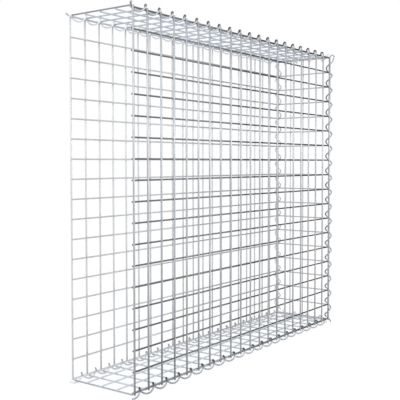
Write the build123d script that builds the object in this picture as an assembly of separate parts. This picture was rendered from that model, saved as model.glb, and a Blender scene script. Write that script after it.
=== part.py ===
from build123d import *
from math import cos, pi, sin, sqrt
import os

# An empty welded-mesh gabion basket, one bay, open at the left end.
# Millimetres. X runs along the wall, Y from the front face to the back, Z up.
# The ground is at Z zero, under the middle of the bay.

# mesh
cell = 50.0                   # wire centre to wire centre
cells_long = 20
cells_high = 18
cells_deep = 4
wire_dia = 4.0                # mesh wire, across the flats of its bar
bar_sides = 8
weld_share = 0.10             # part of a wire pressed into the wire it is welded to
overhang_share = 1.0          # wire end past the last weld, in wires
seat_gap = 0.3                # between wires that only lie against each other

# lacing spirals
spiral_dia = 4.0              # spiral wire
spiral_radius_share = 2.45    # axis to wire centre, in mesh wires
front_start_share = 0.09      # how far the front spirals start outside the first mesh wire, in cells
back_start_share = -0.05      # the same for the back spirals, which start inside it
lid_start_share = 0.01        # the same for the spiral between the closed end and the lid
floor_start_share = -0.062    # the same for the spiral between the closed end and the floor
front_drop_share = 0.195      # how far the front corner spiral starts below the lowest wire, in cells
back_drop_share = -0.204      # the same for the back corner spiral, which starts above it
corner_turn_share = 0.15      # part of a turn from the closed end's side to where a corner spiral starts
back_cut_share = 0.361        # part of a turn left off the top back spiral before its tail
long_turns = 19               # whole turns along the wall
front_corner_turns = 18
back_corner_turns = 17
deep_turns = 3
last_turn_share = 0.5         # part of a turn that ends a spiral
front_last_share = 0.25       # the same at the front corner
back_last_share = 0.75        # the same at the back corner
top_tail_share = 7.0          # straight tail of the top back spiral, in mesh wires
bottom_tail_share = 3.0       # the same for the bottom back spiral

length = cell * cells_long
height = cell * cells_high
depth = cell * cells_deep
step = wire_dia * (1.0 - weld_share)
overhang = wire_dia * overhang_share
beside = wire_dia + seat_gap
flush = wire_dia / 2.0
bar_corner = wire_dia / 2.0 / cos(pi / bar_sides)
spiral_radius = wire_dia * spiral_radius_share
reach = spiral_radius - spiral_dia / 2.0 - bar_corner - seat_gap
rise = step / 2.0
inset = sqrt(reach**2 - rise**2) - beside
apart = step / sqrt(2.0)                                # half the way between two corner uprights
slide = (reach - apart) / sqrt(2.0)                     # front corner spiral, against the front upright
sag = sqrt(reach**2 - apart**2) / sqrt(2.0)             # back corner spiral, against both uprights

left = -length / 2.0
right = length / 2.0
front = -depth / 2.0
back = depth / 2.0
low = spiral_radius + spiral_dia / 2.0 + rise
high = low + height

plus_x = Vector(1, 0, 0)
plus_y = Vector(0, 1, 0)
plus_z = Vector(0, 0, 1)


def bar(first, last):
    path = Line(first, last)
    section = RegularPolygon(wire_dia / 2.0, bar_sides, major_radius=False, rotation=180.0 / bar_sides)
    return extrude(Plane(origin=first, z_dir=path % 0.0) * section, path.length)


def mesh(first_wires, second_wires):
    return Part() + [bar(a, b) for a, b in first_wires + second_wires]


def coil(turns, left_hand, tail):
    path = Helix(cell, cell * turns, spiral_radius, lefthand=left_hand)
    section = Plane(origin=path @ 0.0, z_dir=path % 0.0) * Circle(spiral_dia / 2.0)
    wire = sweep(section, path=path, is_frenet=True)
    if tail > 0.0:
        wire = wire + extrude(section, -tail)
    return wire


def spiral(turns, last_share, start, outward, axis, left_hand=True, tail=0.0):
    turn = coil(1, left_hand, 0.0)
    whole = [coil(1, left_hand, tail)] + [Pos(Z=cell * i) * turn for i in range(1, turns)]
    if last_share > 0.0:
        whole.append(Pos(Z=cell * turns) * coil(last_share, left_hand, 0.0))
    return Plane(origin=start, x_dir=outward, z_dir=axis) * (Part() + whole)


def toward(first, second, turn_share):
    return first * cos(2.0 * pi * turn_share) + second * sin(2.0 * pi * turn_share)


columns = [left + cell * i for i in range(cells_long + 1)]
levels = [low + cell * k for k in range(cells_high + 1)]
rows = [front + cell * j for j in range(cells_deep + 1)]

# the long wires and the closed end's level wires are cut on the slant where they meet in the corners
front_mitre = Plane(origin=(right, front, 0), z_dir=plus_x + plus_y)
back_mitre = Plane(origin=(right, back, 0), z_dir=plus_x - plus_y)

# front and back: long wires inside, upright wires outside
front_mesh = mesh(
    [((left - overhang, front, z), (right + flush, front, z)) for z in levels],
    [((x, front - step, low - overhang), (x, front - step, high + overhang)) for x in columns],
)
front_panel = split(front_mesh, bisect_by=front_mitre.offset(-seat_gap / 2.0), keep=Keep.BOTTOM)
back_panel = mirror(front_panel, about=Plane.XZ)

# closed end: level wires inside, upright wires outside
end_mesh = mesh(
    [((right, front - flush, z), (right, back + flush, z)) for z in levels],
    [((right + step, y, low - overhang), (right + step, y, high + overhang)) for y in rows],
)
end_part = split(end_mesh, bisect_by=front_mitre.offset(seat_gap / 2.0), keep=Keep.TOP)
end_panel = split(end_part, bisect_by=back_mitre.offset(seat_gap / 2.0), keep=Keep.TOP)

# lid and floor: long wires inside, cross wires outside, fitted between the upright panels
lid_rows = [front + beside] + rows[1:-1] + [back - beside]
lid_columns = columns[:-1] + [right - beside]
lid_right = right - beside + flush
top_panel = mesh(
    [((left - overhang, y, high), (lid_right, y, high)) for y in lid_rows],
    [((x, front + beside - flush, high + step), (x, back - beside + flush, high + step)) for x in lid_columns],
)
bottom_panel = mirror(top_panel, about=Plane.XY.offset(low + height / 2.0))

# spirals wind round the edge wires of neighbouring panels, one turn to a cell
edge_front = front - inset
edge_back = back + inset
edge_end = right + inset
roof = high + rise
floor = low - rise
front_x = left - cell * front_start_share
back_x = left - cell * back_start_share
top_tail = wire_dia * top_tail_share
bottom_tail = wire_dia * bottom_tail_share
corner_out = toward(plus_x, -plus_y, corner_turn_share)
front_corner = (right + rise + slide, front - rise + slide, low - cell * front_drop_share)
back_corner = (right + rise - sag, back + rise - sag, low - cell * back_drop_share)
lid_corner = (edge_end, front - cell * lid_start_share, roof)
floor_corner = (edge_end, front - cell * floor_start_share, floor)

nodes = {
    "front_panel": front_panel,
    "back_panel": back_panel,
    "end_panel": end_panel,
    "top_panel": top_panel,
    "bottom_panel": bottom_panel,
    "top_front_spiral": spiral(long_turns, last_turn_share, (front_x, edge_front, roof), plus_z, plus_x),
    "top_back_spiral": spiral(
        long_turns, 0.0, (back_x + cell * back_cut_share, edge_back, roof),
        toward(plus_z, plus_y, back_cut_share), plus_x, tail=top_tail,
    ),
    "bottom_front_spiral": spiral(long_turns, last_turn_share, (front_x, edge_front, floor), -plus_z, plus_x),
    "bottom_back_spiral": spiral(
        long_turns, last_turn_share, (back_x, edge_back, floor), -plus_z, plus_x, tail=bottom_tail,
    ),
    "end_front_spiral": spiral(
        front_corner_turns, front_last_share, front_corner, corner_out, plus_z, left_hand=False,
    ),
    "end_back_spiral": spiral(back_corner_turns, back_last_share, back_corner, corner_out, plus_z),
    "end_top_spiral": spiral(deep_turns, last_turn_share, lid_corner, plus_z, plus_y),
    "end_bottom_spiral": spiral(deep_turns, last_turn_share, floor_corner, -plus_z, plus_y, left_hand=False),
}

os.makedirs("parts", exist_ok=True)
for name, shape in nodes.items():
    export_step(shape, os.path.join("parts", name + ".step"))
    print(name, round(shape.volume), len(shape.solids()), shape.is_valid)
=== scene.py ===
import math
import bpy
from mathutils import Matrix, Vector


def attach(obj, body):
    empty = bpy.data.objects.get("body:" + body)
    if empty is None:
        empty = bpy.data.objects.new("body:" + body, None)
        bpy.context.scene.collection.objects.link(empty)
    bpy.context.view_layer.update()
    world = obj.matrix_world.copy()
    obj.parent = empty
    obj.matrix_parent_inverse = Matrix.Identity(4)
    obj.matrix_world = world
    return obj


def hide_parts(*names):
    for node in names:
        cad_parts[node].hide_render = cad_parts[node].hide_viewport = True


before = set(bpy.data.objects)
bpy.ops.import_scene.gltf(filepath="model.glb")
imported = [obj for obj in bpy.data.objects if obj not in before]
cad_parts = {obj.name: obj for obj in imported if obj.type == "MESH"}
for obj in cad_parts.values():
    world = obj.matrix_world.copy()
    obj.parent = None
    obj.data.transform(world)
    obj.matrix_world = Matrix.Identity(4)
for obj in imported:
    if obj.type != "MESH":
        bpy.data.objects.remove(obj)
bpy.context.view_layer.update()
print("frame loaded")

# the bay's own sizes, in metres, the same as in the solids
bay = {
    "cell": 0.050,
    "cellsLong": 20,
    "cellsHigh": 18,
    "cellsDeep": 4,
    "wireRadius": 0.002,
    "coilRadius": 0.0098,      # spiral axis to wire centre
    "layerStep": 0.0036,       # long wire centre to crossing wire centre
    "overhang": 0.004,         # wire end past the last weld
    "beside": 0.0043,          # two edge wires lying side by side
    "low": 0.0136,             # lowest long wire above the ground
}
cell = bay["cell"]
radius = bay["wireRadius"]
over = bay["overhang"]
beside = bay["beside"]
long = cell * bay["cellsLong"]
tall = cell * bay["cellsHigh"]
deep = cell * bay["cellsDeep"]
left = -long / 2
right = -left
front = -deep / 2
back = -front
low = bay["low"]
high = low + tall
fullTurn = 2 * math.pi
plusX, plusY, plusZ = Vector((1, 0, 0)), Vector((0, 1, 0)), Vector((0, 0, 1))


def newTree(name, inputs):
    tree = bpy.data.node_groups.new(name, "GeometryNodeTree")
    for label, kind, value in inputs:
        socket = tree.interface.new_socket(label, in_out="INPUT", socket_type="NodeSocket" + kind)
        if value is not None:
            socket.default_value = value
    tree.interface.new_socket("Mesh", in_out="OUTPUT", socket_type="NodeSocketGeometry")
    source = tree.nodes.new("NodeGroupInput")
    sink = tree.nodes.new("NodeGroupOutput")
    return tree, source.outputs, sink.inputs[0]


def link(tree, a, b):
    tree.links.new(a, b)


def put(tree, socket, value):
    if isinstance(value, bpy.types.NodeSocket):
        link(tree, value, socket)
    else:
        socket.default_value = value


def node(tree, kind, settings=None, **sockets):
    made = tree.nodes.new(kind)
    for key, value in (settings or {}).items():
        setattr(made, key, value)
    for key, value in sockets.items():
        put(tree, made.inputs[key.replace("_", " ")], value)
    return made


def calc(tree, operation, a, b=0.0, c=0.0):
    made = tree.nodes.new("ShaderNodeMath")
    made.operation = operation
    for socket, value in zip(made.inputs, (a, b, c)):
        put(tree, socket, value)
    return made.outputs[0]


def isNumber(tree, index, number):
    slack = 0.1
    return calc(tree, "COMPARE", index, number, slack)


def vec(tree, x=0.0, y=0.0, z=0.0):
    return node(tree, "ShaderNodeCombineXYZ", X=x, Y=y, Z=z).outputs[0]


def smoothRamp(tree, value, **limits):
    ramp = node(tree, "ShaderNodeMapRange", {"interpolation_type": "SMOOTHSTEP"}, Value=value, **limits)
    return ramp.outputs[0]


# the mix node keeps colours and plain numbers in different sockets: first, second, result
mixSockets = {"RGBA": (6, 7, 2), "FLOAT": (2, 3, 0)}


def blend(tree, kind, share, first, second):
    made = node(tree, "ShaderNodeMix", {"data_type": kind}, Factor=share)
    firstAt, secondAt, resultAt = mixSockets[kind]
    put(tree, made.inputs[firstAt], first)
    put(tree, made.inputs[secondAt], second)
    return made.outputs[resultAt]


# a value on every point, which the zinc reads back by its name
def mark(tree, geometry, name, value):
    made = node(tree, "GeometryNodeStoreNamedAttribute", Geometry=geometry, Name=name, Value=value)
    return made.outputs[0]


# a tube along a spine of points, nipped in where the scale is less than one
def sweepWire(tree, spine, thick, sides, scale):
    curve = node(tree, "GeometryNodeMeshToCurve", Mesh=spine)
    ring = node(tree, "GeometryNodeCurvePrimitiveCircle", Resolution=sides, Radius=thick)
    tube = node(tree, "GeometryNodeCurveToMesh", Curve=curve.outputs[0], Profile_Curve=ring.outputs[0],
                Scale=scale, Fill_Caps=True)
    return tube.outputs[0]


def finishWire(tree, geometry, finish):
    whole = node(tree, "GeometryNodeRealizeInstances", Geometry=geometry)
    smooth = node(tree, "GeometryNodeSetShadeSmooth", Geometry=whole.outputs[0])
    return node(tree, "GeometryNodeSetMaterial", Geometry=smooth.outputs[0], Material=finish).outputs[0]


# one straight wire along X, with its cut ends nipped in
def makeCutWireTree():
    tree, out, sink = newTree("cutWire", [
        ("Start", "Float", 0.0),
        ("End", "Float", 1.0),
        ("Wire Radius", "Float", 0.002),
        ("Nip Length", "Float", 0.0005),
        ("Nip Scale", "Float", 0.72),
        ("Sides", "Int", 12),
    ])
    # four points: tip, nip, nip, tip
    index = node(tree, "GeometryNodeInputIndex").outputs[0]
    spine = node(tree, "GeometryNodeMeshLine", Count=4)
    farHalf = calc(tree, "GREATER_THAN", index, 1.5)
    span = calc(tree, "SUBTRACT", out["End"], out["Start"])
    x = calc(tree, "MULTIPLY_ADD", farHalf, span, out["Start"])
    x = calc(tree, "MULTIPLY_ADD", isNumber(tree, index, 1.0), out["Nip Length"], x)
    x = calc(tree, "SUBTRACT", x, calc(tree, "MULTIPLY", isNumber(tree, index, 2.0), out["Nip Length"]))
    placed = node(tree, "GeometryNodeSetPosition", Geometry=spine.outputs[0], Position=vec(tree, x=x))
    pastTip = calc(tree, "GREATER_THAN", index, 0.5)
    middle = calc(tree, "MULTIPLY", pastTip, calc(tree, "LESS_THAN", index, 2.5))
    swell = calc(tree, "SUBTRACT", 1.0, out["Nip Scale"])
    scale = calc(tree, "MULTIPLY_ADD", middle, swell, out["Nip Scale"])
    link(tree, sweepWire(tree, placed.outputs[0], out["Wire Radius"], out["Sides"], scale), sink)
    return tree


# no two welds are the same size: the smallest and the largest, as shares
weldLook = {"segments": 8, "rings": 5, "smallest": (0.86, 0.86, 0.9), "largest": (1.14, 1.14, 1.1)}


# a welded mat: long wires along X, crossing wires along Y one layer out, a weld at each crossing
def makeWeldedMatTree(cutWire):
    tree, out, sink = newTree("weldedMat", [
        ("Columns", "Int", 21),
        ("Rows", "Int", 19),
        ("Cell", "Float", 0.05),
        ("Long Start", "Float", 0.0),
        ("Long End", "Float", 1.0),
        ("Cross Start", "Float", 0.0),
        ("Cross End", "Float", 0.9),
        ("Last Column In", "Float", 0.0),
        ("First Row In", "Float", 0.0),
        ("Last Row In", "Float", 0.0),
        ("Wire Radius", "Float", 0.002),
        ("Cross Radius", "Float", 0.002),
        ("Layer Step", "Float", 0.0036),
        ("First Row Less Shade", "Float", 0.0),
        ("Weld Spread", "Float", 0.0022),
        ("Weld Depth", "Float", 0.0011),
        ("Seed", "Int", 1),
        ("Wire Finish", "Material", None),
    ])

    def stations(count, firstIn, lastIn):
        index = node(tree, "GeometryNodeInputIndex").outputs[0]
        isLast = isNumber(tree, index, calc(tree, "SUBTRACT", count, 1.0))
        step = calc(tree, "MULTIPLY", index, out["Cell"])
        step = calc(tree, "MULTIPLY_ADD", isNumber(tree, index, 0.0), firstIn, step)
        return calc(tree, "SUBTRACT", step, calc(tree, "MULTIPLY", isLast, lastIn))

    def pointLine(count, place):
        line = node(tree, "GeometryNodeMeshLine", Count=count)
        return node(tree, "GeometryNodeSetPosition", Geometry=line.outputs[0], Position=place).outputs[0]

    def wire(start, end, thick):
        made = node(tree, "GeometryNodeGroup", {"node_tree": cutWire},
                    Start=start, End=end, Wire_Radius=thick)
        return made.outputs[0]

    columns = pointLine(out["Columns"], vec(tree, x=stations(out["Columns"], 0.0, out["Last Column In"])))
    rows = pointLine(out["Rows"], vec(tree, y=stations(out["Rows"], out["First Row In"], out["Last Row In"])))
    isFirst = isNumber(tree, node(tree, "GeometryNodeInputIndex").outputs[0], 0.0)
    # painted shade: each long wire carries its share of darkening, and the first row gets less of it
    longShadeShare = calc(tree, "SUBTRACT", 1.0, calc(tree, "MULTIPLY", isFirst, out["First Row Less Shade"]))
    longWires = node(tree, "GeometryNodeInstanceOnPoints", Points=mark(tree, rows, "longWireShade", longShadeShare),
                     Instance=wire(out["Long Start"], out["Long End"], out["Wire Radius"]))
    turned = node(tree, "GeometryNodeTransform",
                  Geometry=wire(out["Cross Start"], out["Cross End"], out["Cross Radius"]),
                  Rotation=(0.0, 0.0, fullTurn / 4), Translation=vec(tree, z=out["Layer Step"]))
    crossWires = node(tree, "GeometryNodeInstanceOnPoints", Points=mark(tree, columns, "darkenedWire", isFirst),
                      Instance=turned.outputs[0])
    # welds: a flat bead halfway between the two layers
    crossings = node(tree, "GeometryNodeInstanceOnPoints", Points=columns, Instance=rows)
    crossings = node(tree, "GeometryNodeRealizeInstances", Geometry=crossings.outputs[0])
    bead = node(tree, "GeometryNodeMeshUVSphere", Radius=1.0,
                Segments=weldLook["segments"], Rings=weldLook["rings"])
    spread = node(tree, "FunctionNodeRandomValue", {"data_type": "FLOAT_VECTOR"}, Seed=out["Seed"])
    spread.inputs[0].default_value = weldLook["smallest"]
    spread.inputs[1].default_value = weldLook["largest"]
    size = node(tree, "ShaderNodeVectorMath", {"operation": "MULTIPLY"})
    put(tree, size.inputs[0], spread.outputs[0])
    put(tree, size.inputs[1], vec(tree, out["Weld Spread"], out["Weld Spread"], out["Weld Depth"]))
    half = vec(tree, z=calc(tree, "MULTIPLY", out["Layer Step"], 0.5))
    lifted = node(tree, "GeometryNodeSetPosition", Geometry=crossings.outputs[0], Offset=half)
    welds = node(tree, "GeometryNodeInstanceOnPoints", Points=lifted.outputs[0], Instance=bead.outputs[0],
                 Scale=size.outputs[0])
    welds = node(tree, "GeometryNodeRealizeInstances", Geometry=welds.outputs[0])
    join = tree.nodes.new("GeometryNodeJoinGeometry")
    for part in (longWires.outputs[0], crossWires.outputs[0], mark(tree, welds.outputs[0], "weld", 1.0)):
        link(tree, part, join.inputs[0])
    link(tree, finishWire(tree, join.outputs[0], out["Wire Finish"]), sink)
    return tree


# how an open loop leaves the coil over its half turn, as shares of its size
loopShape = {
    "out": ((0.0, 0.0), (0.25, 0.29), (0.5, 0.56), (0.75, 1.0), (1.0, 0.5)),
    "up": ((0.0, 0.0), (0.25, 0.14), (0.5, 0.71), (0.75, 1.0), (1.0, 0.24)),
}
# how the painted shade on one side of a turn fades out, and the turn before which none is painted
sideShadeLook = {"fade": 0.7, "from": 0.3}


def shapeCurve(tree, value, points):
    made = node(tree, "ShaderNodeFloatCurve", Value=value)
    line = made.mapping.curves[0]
    line.points[0].location = points[0]
    line.points[1].location = points[-1]
    for point in points[1:-1]:
        line.points.new(*point)
    made.mapping.update()
    return made.outputs[0]


# a lacing spiral along Z, starting on +X, with a straight tail before its first turn
def makeSpiralTree():
    tree, out, sink = newTree("lacingSpiral", [
        ("Turns", "Float", 19.5),
        ("Pitch", "Float", 0.05),
        ("Coil Radius", "Float", 0.0098),
        ("Wire Radius", "Float", 0.002),
        ("Hand", "Float", -1.0),
        ("Tail", "Float", 0.0),
        ("Tail Out", "Float", 0.0),
        ("Tail Shade", "Float", 0.0),
        ("Nip Length", "Float", 0.0005),
        ("Nip Scale", "Float", 0.72),
        ("Side Shade", "Float", 0.0),
        ("Side Shade Turn", "Float", 0.0),
        ("Loop Out", "Float", 0.0),
        ("Loop Up", "Float", 0.0),
        ("Points Per Turn", "Int", 40),
        ("Sides", "Int", 10),
        ("Wire Finish", "Material", None),
    ])
    index = node(tree, "GeometryNodeInputIndex").outputs[0]
    steps = calc(tree, "ROUND", calc(tree, "MULTIPLY", out["Turns"], out["Points Per Turn"]))
    count = calc(tree, "ADD", steps, 4.0)          # two points of tail, the coil, one nipped end
    isTip = isNumber(tree, index, 0.0)
    isTail = calc(tree, "LESS_THAN", index, 1.5)
    isEnd = isNumber(tree, index, calc(tree, "SUBTRACT", count, 1.0))
    along = calc(tree, "MAXIMUM", calc(tree, "SUBTRACT", index, 2.0), 0.0)
    along = calc(tree, "DIVIDE", calc(tree, "MINIMUM", along, steps), steps)
    turn = calc(tree, "MULTIPLY", along, out["Turns"])
    girth = calc(tree, "MULTIPLY", out["Coil Radius"], fullTurn)
    squares = calc(tree, "ADD", calc(tree, "POWER", girth, 2.0), calc(tree, "POWER", out["Pitch"], 2.0))
    arc = calc(tree, "SQRT", squares)              # wire in one turn
    turn = calc(tree, "MULTIPLY_ADD", isEnd, calc(tree, "DIVIDE", out["Nip Length"], arc), turn)
    angle = calc(tree, "MULTIPLY", turn, fullTurn)
    # the last half turn may be drawn out into an open loop
    loopStart = calc(tree, "SUBTRACT", out["Turns"], 0.5)
    loop = calc(tree, "MULTIPLY", calc(tree, "SUBTRACT", turn, loopStart), 2.0)
    loopOut = shapeCurve(tree, loop, loopShape["out"])
    loopUp = shapeCurve(tree, loop, loopShape["up"])
    x = calc(tree, "MULTIPLY", out["Coil Radius"], calc(tree, "COSINE", angle))
    x = calc(tree, "MULTIPLY_ADD", loopOut, out["Loop Out"], x)
    x = calc(tree, "MULTIPLY_ADD", isTail, out["Tail Out"], x)
    y = calc(tree, "MULTIPLY", out["Coil Radius"], calc(tree, "SINE", angle))
    y = calc(tree, "MULTIPLY", y, out["Hand"])
    z = calc(tree, "MULTIPLY_ADD", turn, out["Pitch"], calc(tree, "MULTIPLY", loopUp, out["Loop Up"]))
    # tail: straight back along the first turn's own direction
    tail = calc(tree, "MAXIMUM", out["Tail"], calc(tree, "MULTIPLY", out["Nip Length"], 2.0))
    nip = calc(tree, "MULTIPLY", calc(tree, "SUBTRACT", 1.0, isTip), out["Nip Length"])
    run = calc(tree, "DIVIDE", calc(tree, "SUBTRACT", tail, nip), arc)
    run = calc(tree, "MULTIPLY", run, isTail)
    y = calc(tree, "SUBTRACT", y, calc(tree, "MULTIPLY", calc(tree, "MULTIPLY", run, girth), out["Hand"]))
    z = calc(tree, "SUBTRACT", z, calc(tree, "MULTIPLY", run, out["Pitch"]))
    spine = node(tree, "GeometryNodeMeshLine", Count=count)
    placed = node(tree, "GeometryNodeSetPosition", Geometry=spine.outputs[0], Position=vec(tree, x, y, z))
    # painted shade: one side of every turn may be darkened, and so may the tail
    sideShadeAngle = calc(tree, "MULTIPLY", calc(tree, "SUBTRACT", turn, out["Side Shade Turn"]), fullTurn)
    sideShade = calc(tree, "MAXIMUM", calc(tree, "COSINE", sideShadeAngle), 0.0)
    sideShade = calc(tree, "POWER", sideShade, sideShadeLook["fade"])
    sideShade = calc(tree, "MULTIPLY", sideShade, out["Side Shade"])
    sideShade = calc(tree, "MULTIPLY", sideShade, calc(tree, "GREATER_THAN", turn, sideShadeLook["from"]))
    shadedShare = calc(tree, "MAXIMUM", sideShade, calc(tree, "MULTIPLY", isTail, out["Tail Shade"]))
    marked = mark(tree, placed.outputs[0], "darkenedWire", shadedShare)
    nipped = calc(tree, "ADD", isTip, isEnd)
    scale = calc(tree, "MULTIPLY_ADD", nipped, calc(tree, "SUBTRACT", out["Nip Scale"], 1.0), 1.0)
    tube = sweepWire(tree, marked, out["Wire Radius"], out["Sides"], scale)
    link(tree, finishWire(tree, tube, out["Wire Finish"]), sink)
    return tree


# runs a tree on an empty mesh and keeps the result as a plain mesh at its place
def growPiece(name, tree, values, place, finish):
    holder = bpy.data.objects.new(name, bpy.data.meshes.new(name))
    bpy.context.scene.collection.objects.link(holder)
    modifier = holder.modifiers.new("grow", "NODES")
    modifier.node_group = tree
    ids = {item.name: item.identifier for item in tree.interface.items_tree if item.in_out == "INPUT"}
    for label, value in values.items():
        modifier[ids[label]] = value
    modifier[ids["Wire Finish"]] = finish
    bpy.context.view_layer.update()
    evaluated = holder.evaluated_get(bpy.context.evaluated_depsgraph_get())
    grown = bpy.data.meshes.new_from_object(evaluated)
    holder.modifiers.remove(modifier)
    grown.name = name
    grown.transform(place)
    blank = holder.data
    holder.data = grown
    bpy.data.meshes.remove(blank)
    return holder


def frameAt(origin, x, y, z):
    made = Matrix.Identity(4)
    for i, column in enumerate((x, y, z, origin)):
        for j in range(3):
            made[j][i] = column[j]
    return made


# what all the zinc has in common
zincLook = {
    "patchDetail": 3.0, "patchRoughness": 0.6,
    "patchFrom": 0.42, "patchTo": 0.64,
    "grainScale": 900.0, "grainDetail": 2.0,
    "spangleInTone": 0.45, "patchInTone": 0.55,
    "spangleInRelief": 0.6, "grainInRelief": 0.4,
    "weldBurnt": 0.25,
    "relief": 0.25, "reliefDepth": 0.0001,
    "mattSpecular": 0.1,
}


# zinc with spangle, dull patches and fine grain; painted shade may darken the long wires, the spirals' sides
# and tails and the low corner at the open end, and the mats' first crossing wire may be darker
def makeZincGroup():
    group = bpy.data.node_groups.new("zincSkin", "ShaderNodeTree")
    for label, kind, value in (
        ("Bright", "Color", (0.62, 0.63, 0.65, 1)),
        ("Dull", "Color", (0.5, 0.51, 0.53, 1)),
        ("Burnt", "Color", (0.3, 0.3, 0.31, 1)),
        ("Spangle Scale", "Float", 260.0),
        ("Patch Scale", "Float", 11.0),
        ("Rough Low", "Float", 0.3),
        ("Rough High", "Float", 0.5),
        ("Long Shade Tone", "Float", 1.0),
        ("Darkened Tone", "Float", 1.0),
        ("Darkened Matt", "Float", 0.0),
        ("Corner Shade Place", "Vector", (0.0, 0.0, 0.0)),
        ("Corner Shade Reach", "Float", 0.5),
        ("Corner Shade Tone", "Float", 1.0),
    ):
        socket = group.interface.new_socket(label, in_out="INPUT", socket_type="NodeSocket" + kind)
        socket.default_value = value
    for label, kind in (
        ("Color", "Color"),
        ("Roughness", "Float"),
        ("Height", "Float"),
        ("Metal Share", "Float"),
    ):
        group.interface.new_socket(label, in_out="OUTPUT", socket_type="NodeSocket" + kind)
    out = group.nodes.new("NodeGroupInput").outputs
    sink = group.nodes.new("NodeGroupOutput").inputs
    place = group.nodes.new("ShaderNodeTexCoord").outputs["Object"]

    def attribute(name):
        return node(group, "ShaderNodeAttribute", {"attribute_name": name}).outputs["Fac"]

    def toneWhere(mask, tone):
        return calc(group, "MULTIPLY_ADD", mask, calc(group, "SUBTRACT", tone, 1.0), 1.0)

    spangle = node(group, "ShaderNodeTexVoronoi", Vector=place, Scale=out["Spangle Scale"])
    patch = node(group, "ShaderNodeTexNoise", Vector=place, Scale=out["Patch Scale"],
                 Detail=zincLook["patchDetail"], Roughness=zincLook["patchRoughness"])
    grain = node(group, "ShaderNodeTexNoise", Vector=place,
                 Scale=zincLook["grainScale"], Detail=zincLook["grainDetail"])
    patchMask = node(group, "ShaderNodeMapRange", Value=patch.outputs["Fac"],
                     From_Min=zincLook["patchFrom"], From_Max=zincLook["patchTo"])
    cellTone = node(group, "ShaderNodeSeparateColor", Color=spangle.outputs["Color"]).outputs[0]
    patchShare = calc(group, "MULTIPLY", patchMask.outputs[0], zincLook["patchInTone"])
    dullShare = calc(group, "MULTIPLY_ADD", cellTone, zincLook["spangleInTone"], patchShare)
    tone = blend(group, "RGBA", dullShare, out["Bright"], out["Dull"])
    # painted shade: the long wires are drawn darker than the crossing ones
    # marked wires are drawn darker: the mats' first crossing wire, and painted shade on the spirals' sides and
    # tails
    isDarkened = attribute("darkenedWire")
    share = toneWhere(attribute("longWireShade"), out["Long Shade Tone"])
    share = calc(group, "MULTIPLY", share, toneWhere(isDarkened, out["Darkened Tone"]))
    # painted shade: darker towards the low front corner at the open end, fading out over its reach
    away = node(group, "ShaderNodeVectorMath", {"operation": "DISTANCE"})
    link(group, place, away.inputs[0])
    link(group, out["Corner Shade Place"], away.inputs[1])
    cornerShade = smoothRamp(group, away.outputs["Value"], From_Max=out["Corner Shade Reach"], To_Min=out["Corner Shade Tone"])
    share = calc(group, "MULTIPLY", share, cornerShade)
    coilTone = node(group, "ShaderNodeVectorMath", {"operation": "SCALE"}, Scale=share)
    link(group, tone, coilTone.inputs[0])
    burntShare = calc(group, "MULTIPLY", attribute("weld"), zincLook["weldBurnt"])
    link(group, blend(group, "RGBA", burntShare, coilTone.outputs[0], out["Burnt"]), sink["Color"])
    rough = node(group, "ShaderNodeMapRange", Value=dullShare,
                 To_Min=out["Rough Low"], To_Max=out["Rough High"])
    link(group, rough.outputs[0], sink["Roughness"])
    # the painted-shade side of a spiral may also lose its metal
    matt = calc(group, "MULTIPLY", isDarkened, out["Darkened Matt"])
    link(group, calc(group, "SUBTRACT", 1.0, matt), sink["Metal Share"])
    grainShare = calc(group, "MULTIPLY", grain.outputs["Fac"], zincLook["grainInRelief"])
    height = calc(group, "MULTIPLY_ADD", cellTone, zincLook["spangleInRelief"], grainShare)
    link(group, height, sink["Height"])
    return group


def makeZinc(name, group, values, metallic):
    material = bpy.data.materials.new(name)
    material.use_nodes = True
    tree = material.node_tree
    shader = tree.nodes["Principled BSDF"]
    skin = tree.nodes.new("ShaderNodeGroup")
    skin.node_tree = group
    for label, value in values.items():
        skin.inputs[label].default_value = value
    link(tree, skin.outputs["Color"], shader.inputs["Base Color"])
    link(tree, skin.outputs["Roughness"], shader.inputs["Roughness"])
    shader.inputs["Metallic"].default_value = metallic
    if "Darkened Matt" in values:
        link(tree, calc(tree, "MULTIPLY", skin.outputs["Metal Share"], metallic), shader.inputs["Metallic"])
        shader.inputs["Specular IOR Level"].default_value = zincLook["mattSpecular"]
    relief = node(tree, "ShaderNodeBump", Strength=zincLook["relief"], Distance=zincLook["reliefDepth"],
                  Height=skin.outputs["Height"])
    link(tree, relief.outputs[0], shader.inputs["Normal"])
    return material


# each finish is a copy of the one zinc, made lighter, darker or bluer by where it stands in the bay, which is
# painted light and shade; and how far it is metal
polished = {"Rough Low": 0.2, "Rough High": 0.38}
# painted shade at the low front corner of the open end, for the front mat and the front foot spiral
cornerShadeAt = {"Corner Shade Place": (left, front, 0.0), "Corner Shade Reach": 0.50}
footShadeAt = {"Corner Shade Place": (left, front, 0.0), "Corner Shade Reach": 0.55}
zincSkin = makeZincGroup()
frontZinc = makeZinc("frontZinc", zincSkin, {
    "Bright": (0.53, 0.547, 0.576, 1), "Dull": (0.434, 0.451, 0.48, 1), "Long Shade Tone": 0.315,
    **polished, **cornerShadeAt, "Corner Shade Tone": 0.69}, 1.0)
lidZinc = makeZinc("lidZinc", zincSkin, {
    "Bright": (0.565, 0.605, 0.68, 1), "Dull": (0.475, 0.515, 0.59, 1), "Darkened Tone": 0.5}, 0.2)
floorZinc = makeZinc("floorZinc", zincSkin, {
    "Bright": (0.70, 0.738, 0.80, 1), "Dull": (0.61, 0.648, 0.71, 1), "Darkened Tone": 0.66}, 0.2)
backZinc = makeZinc("backZinc", zincSkin, {
    "Bright": (0.72, 0.738, 0.755, 1), "Dull": (0.62, 0.638, 0.655, 1), "Long Shade Tone": 0.78}, 0.55)
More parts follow.
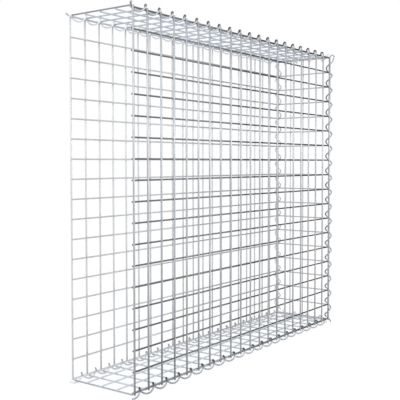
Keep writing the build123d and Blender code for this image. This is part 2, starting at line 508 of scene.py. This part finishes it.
frontSpiralZinc = makeZinc("frontSpiralZinc", zincSkin, {
    "Bright": (0.50, 0.515, 0.545, 1), "Dull": (0.40, 0.415, 0.445, 1), "Darkened Tone": 0.1, "Darkened Matt": 1.0,
    **polished}, 1.0)
cornerSpiralZinc = makeZinc("cornerSpiralZinc", zincSkin, {
    "Bright": (0.49, 0.50, 0.52, 1), "Dull": (0.40, 0.41, 0.43, 1), "Darkened Tone": 0.62}, 0.7)
footSpiralZinc = makeZinc("footSpiralZinc", zincSkin, {
    "Bright": (0.51, 0.53, 0.58, 1), "Dull": (0.41, 0.43, 0.48, 1), "Darkened Tone": 0.1,
    **polished, **footShadeAt, "Corner Shade Tone": 0.8}, 0.9)
backSpiralZinc = makeZinc("backSpiralZinc", zincSkin, {
    "Bright": (0.83, 0.845, 0.865, 1), "Dull": (0.75, 0.765, 0.785, 1), "Darkened Tone": 0.45}, 0.2)
print("zinc finishes made")

cutWire = makeCutWireTree()
weldedMat = makeWeldedMatTree(cutWire)
lacingSpiral = makeSpiralTree()
print("trees made")

# mats; front wires and back uprights are drawn thicker than in the solids, nearer to their width in the photo
matBase = {"Cell": cell, "Wire Radius": radius, "Cross Radius": radius, "Layer Step": bay["layerStep"]}
corner = {"longPast": 0.0004, "levelIn": 0.0022}       # where long and level wires meet at the closed end
trim = 0.0015                                          # long wires are cut close to the open end's wires
upright = {"Cross Start": -over, "Cross End": tall + over}
frontMat = {
    "Columns": 21, "Rows": 19, **upright,
    "Long Start": -trim, "Long End": long + corner["longPast"],
    "Wire Radius": 0.0021, "Cross Radius": 0.0024, "Layer Step": 0.0041, "First Row Less Shade": 0.6,
}
backMat = {
    "Columns": 21, "Rows": 19, **upright,
    "Long Start": -corner["longPast"], "Long End": long + trim,
    "Cross Radius": 0.0023, "Weld Spread": 0.002,
}
endMat = {
    "Columns": 5, "Rows": 19, **upright,
    "Long Start": corner["levelIn"], "Long End": deep - corner["levelIn"],
    "Weld Spread": 0.0007, "Weld Depth": 0.0009,       # small, to clear the front and back mats in the corners
}
lidMat = {
    "Columns": 21, "Rows": 5, "Last Column In": beside, "First Row In": beside, "Last Row In": beside,
    "Long Start": -trim, "Long End": long - beside + radius,
    "Cross Start": beside - radius, "Cross End": deep - beside + radius,
}
floorMat = dict(lidMat)                                # the same mat, turned over
mats = [
    ("frontMesh", "front_panel", frontMat, frameAt((left, front, low), plusX, plusZ, -plusY), frontZinc, 3),
    ("backMesh", "back_panel", backMat, frameAt((right, back, low), -plusX, plusZ, plusY), backZinc, 5),
    ("endMesh", "end_panel", endMat, frameAt((right, front, low), plusY, plusZ, plusX), backZinc, 7),
    ("lidMesh", "top_panel", lidMat, frameAt((left, front, high), plusX, plusY, plusZ), lidZinc, 11),
    ("floorMesh", "bottom_panel", floorMat, frameAt((left, back, low), plusX, -plusY, -plusZ), floorZinc, 13),
]
for name, cadNode, values, place, finish, seed in mats:
    piece = growPiece(name, weldedMat, {**matBase, **values, "Seed": seed}, place, finish)
    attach(piece, "root")
    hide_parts(cadNode)
    print(name, len(piece.data.polygons), "faces")

# lacing spirals: two edge wires of neighbouring panels lie inside each
coilBase = {"Pitch": cell, "Coil Radius": bay["coilRadius"], "Wire Radius": radius}
# where the axes run beside the edge wires
seat = {"in": 0.0007224, "rise": 0.0018, "slide": 0.0015726, "sag": 0.0033155}
# where each coil starts along its own axis, from the first mesh wire
starts = {
    "topFront": -0.0027, "bottomFront": -0.0045, "topBack": 0.0025, "bottomBack": 0.0025,
    "endFront": -0.00975, "endBack": 0.0102, "endTop": -0.0005, "endBottom": 0.0031,
}
cornerTurn = 0.15              # part of a turn from the closed end's side to where a corner spiral starts
topBackCut = 0.361             # part of a turn left off the top back spiral before its tail
roof = high + seat["rise"]
ground = low - seat["rise"]
edgeFront = front - seat["in"]
edgeBack = back + seat["in"]
edgeEnd = right + seat["in"]
cornerX = right + seat["rise"]
frontCorner = (cornerX + seat["slide"], front - seat["rise"] + seat["slide"], low + starts["endFront"])
backCorner = (cornerX - seat["sag"], back + seat["rise"] - seat["sag"], low + starts["endBack"])
topBackStart = left + starts["topBack"] + cell * topBackCut


def aside(first, second, turnShare):
    turned = fullTurn * turnShare
    return first * math.cos(turned) + second * math.sin(turned)


cornerOut = aside(plusX, -plusY, cornerTurn)
topBackOut = aside(plusZ, plusY, topBackCut)
# painted shade on one side of the turns, and on the top back tail
topFrontCoil = {"Turns": 19.5, "Wire Radius": 0.0023, "Side Shade": 1.0}
topBackCoil = {"Turns": 19.0, "Tail": 0.028, "Tail Shade": 1.0}
bottomFrontCoil = {"Turns": 19.5, "Side Shade": 1.0, "Side Shade Turn": 0.5}
bottomBackCoil = {"Turns": 19.5, "Tail": 0.012, "Tail Out": -0.003, "Side Shade": 1.0, "Side Shade Turn": 0.5}
endFrontCoil = {
    "Turns": 18.25, "Wire Radius": 0.0022, "Hand": 1.0, "Side Shade": 1.0, "Side Shade Turn": 0.5,
    "Loop Out": 0.0090, "Loop Up": 0.0117,
}
endBackCoil = {"Turns": 17.75}
endTopCoil = {"Turns": 3.5}
endBottomCoil = {"Turns": 3.5, "Hand": 1.0}
spirals = [
    ("topFrontSpiral", "top_front_spiral", topFrontCoil,
     (left + starts["topFront"], edgeFront, roof), plusZ, plusX, frontSpiralZinc),
    ("topBackSpiral", "top_back_spiral", topBackCoil,
     (topBackStart, edgeBack, roof), topBackOut, plusX, backSpiralZinc),
    ("bottomFrontSpiral", "bottom_front_spiral", bottomFrontCoil,
     (left + starts["bottomFront"], edgeFront, ground), -plusZ, plusX, footSpiralZinc),
    ("bottomBackSpiral", "bottom_back_spiral", bottomBackCoil,
     (left + starts["bottomBack"], edgeBack, ground), -plusZ, plusX, backSpiralZinc),
    ("endFrontSpiral", "end_front_spiral", endFrontCoil, frontCorner, cornerOut, plusZ, cornerSpiralZinc),
    ("endBackSpiral", "end_back_spiral", endBackCoil, backCorner, cornerOut, plusZ, backZinc),
    ("endTopSpiral", "end_top_spiral", endTopCoil,
     (edgeEnd, front + starts["endTop"], roof), plusZ, plusY, backSpiralZinc),
    ("endBottomSpiral", "end_bottom_spiral", endBottomCoil,
     (edgeEnd, front + starts["endBottom"], ground), -plusZ, plusY, backSpiralZinc),
]
for name, cadNode, values, start, outward, axis, finish in spirals:
    place = frameAt(start, outward, axis.cross(outward), axis)
    piece = growPiece(name, lacingSpiral, {**coilBase, **values}, place, finish)
    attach(piece, "root")
    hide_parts(cadNode)
    print(name, len(piece.data.polygons), "faces")

# camera, fitted to the wires in the photo; angles in degrees
view = {
    "place": (-1.7391, -1.2193, 0.5539),
    "yaw": 36.080, "pitch": -2.227, "roll": -0.026,
    "lens": 64.494, "sensor": 36.0,
    "shiftX": -0.01975, "shiftY": -0.02275,
    "clipEnd": 100.0,
}
yaw, pitch, roll = (math.radians(view[k]) for k in ("yaw", "pitch", "roll"))
forward = Vector((math.cos(yaw) * math.cos(pitch), math.sin(yaw) * math.cos(pitch), math.sin(pitch)))
side = Vector((math.sin(yaw), -math.cos(yaw), 0))
up = side.cross(forward)
sideRolled = side * math.cos(roll) + up * math.sin(roll)
upRolled = up * math.cos(roll) - side * math.sin(roll)
camera = bpy.data.objects.new("photoCamera", bpy.data.cameras.new("photoCamera"))
camera.matrix_world = frameAt(view["place"], sideRolled, upRolled, -forward)
camera.data.lens = view["lens"]
camera.data.sensor_width = view["sensor"]
camera.data.shift_x = view["shiftX"]
camera.data.shift_y = view["shiftY"]
camera.data.clip_end = view["clipEnd"]
bpy.context.scene.collection.objects.link(camera)
bpy.context.scene.camera = camera
print("camera placed")

# white studio: pale floor, white surround, soft lamps
studio = {
    "floorSize": 60.0,
    "floorTone": 0.9, "floorRoughness": 0.9,
    "floorGlow": 1.02, "floorGlowShare": 0.92,             # keeps the floor white to the camera
    "floorInMetal": 0.93,                                  # the floor as the wires mirror it, beside the bay
    "farFloorInMetal": 0.03,                               # and off to the right, where the studio is dark
    "farFrom": 0.8, "farTo": 2.2,
    "fill": 0.94,                                          # the surround as a light
    "seen": 1.0,                                           # as the camera sees it
    "bright": 0.7,                                         # as the wires mirror it, at eye level
    "brightHigh": 1.22, "highAt": 0.26,                    # and further up
    "darkSide": 0.02,                                      # and on its dark side
    "darkAxis": (0.93, 0.32, 0.0), "darkFrom": 0.42, "darkTo": 0.64,
}
lamps = {
    "leftSoftbox": {"place": (-2.6, -1.2, 2.4), "target": (0, 0, 0.5), "size": 2.0, "power": 15.0},
    "rightSoftbox": {"place": (1.3, -2.6, 0.9), "target": (0.4, 0, 0.45), "size": 1.6, "power": 22.0},
}


def makeFloor():
    mesh = bpy.data.meshes.new("studioFloor")
    s = studio["floorSize"] / 2
    mesh.from_pydata([(-s, -s, 0), (s, -s, 0), (s, s, 0), (-s, s, 0)], [], [(0, 1, 2, 3)])
    floor = bpy.data.objects.new("studioFloor", mesh)
    bpy.context.scene.collection.objects.link(floor)
    material = bpy.data.materials.new("palePaper")
    material.use_nodes = True
    tree = material.node_tree
    shader = tree.nodes["Principled BSDF"]
    shader.inputs["Roughness"].default_value = studio["floorRoughness"]
    white = node(tree, "ShaderNodeEmission", Strength=studio["floorGlow"])
    rays = tree.nodes.new("ShaderNodeLightPath").outputs
    place = tree.nodes.new("ShaderNodeTexCoord").outputs["Object"]
    across = node(tree, "ShaderNodeSeparateXYZ", Vector=place).outputs["X"]
    mirrored = smoothRamp(tree, across, From_Min=studio["farFrom"], From_Max=studio["farTo"],
                          To_Min=studio["floorInMetal"], To_Max=studio["farFloorInMetal"])
    tone = studio["floorTone"]
    toned = blend(tree, "RGBA", rays["Is Glossy Ray"], (tone, tone, tone, 1), mirrored)
    link(tree, toned, shader.inputs["Base Color"])
    mix = tree.nodes.new("ShaderNodeMixShader")
    link(tree, calc(tree, "MULTIPLY", rays["Is Camera Ray"], studio["floorGlowShare"]), mix.inputs[0])
    link(tree, shader.outputs[0], mix.inputs[1])
    link(tree, white.outputs[0], mix.inputs[2])
    link(tree, mix.outputs[0], tree.nodes["Material Output"].inputs["Surface"])
    mesh.materials.append(material)


def makeSurround():
    world = bpy.data.worlds.new("whiteSurround")
    world.use_nodes = True
    bpy.context.scene.world = world
    tree = world.node_tree
    background = tree.nodes["Background"]
    direction = tree.nodes.new("ShaderNodeTexCoord").outputs["Generated"]
    height = node(tree, "ShaderNodeSeparateXYZ", Vector=direction).outputs["Z"]
    lit = smoothRamp(tree, height, From_Max=studio["highAt"],
                     To_Min=studio["bright"], To_Max=studio["brightHigh"])
    axis = node(tree, "ShaderNodeVectorMath", {"operation": "DOT_PRODUCT"})
    link(tree, direction, axis.inputs[0])
    axis.inputs[1].default_value = Vector(studio["darkAxis"]).normalized()
    mirrored = smoothRamp(tree, axis.outputs["Value"], From_Min=studio["darkFrom"], From_Max=studio["darkTo"],
                          To_Min=lit, To_Max=studio["darkSide"])
    rays = tree.nodes.new("ShaderNodeLightPath").outputs
    strength = blend(tree, "FLOAT", rays["Is Glossy Ray"], studio["fill"], mirrored)
    strength = blend(tree, "FLOAT", rays["Is Camera Ray"], strength, studio["seen"])
    background.inputs["Color"].default_value = (1, 1, 1, 1)
    link(tree, strength, background.inputs["Strength"])


def makeLamp(name, place, target, size, power):
    lamp = bpy.data.objects.new(name, bpy.data.lights.new(name, "AREA"))
    lamp.data.size = size
    lamp.data.energy = power
    lamp.location = place
    lamp.rotation_euler = (Vector(target) - Vector(place)).to_track_quat("-Z", "Y").to_euler()
    bpy.context.scene.collection.objects.link(lamp)


makeFloor()
makeSurround()
for name, lamp in lamps.items():
    makeLamp(name, **lamp)
bpy.context.scene.view_settings.view_transform = "Standard"
print("studio lit")
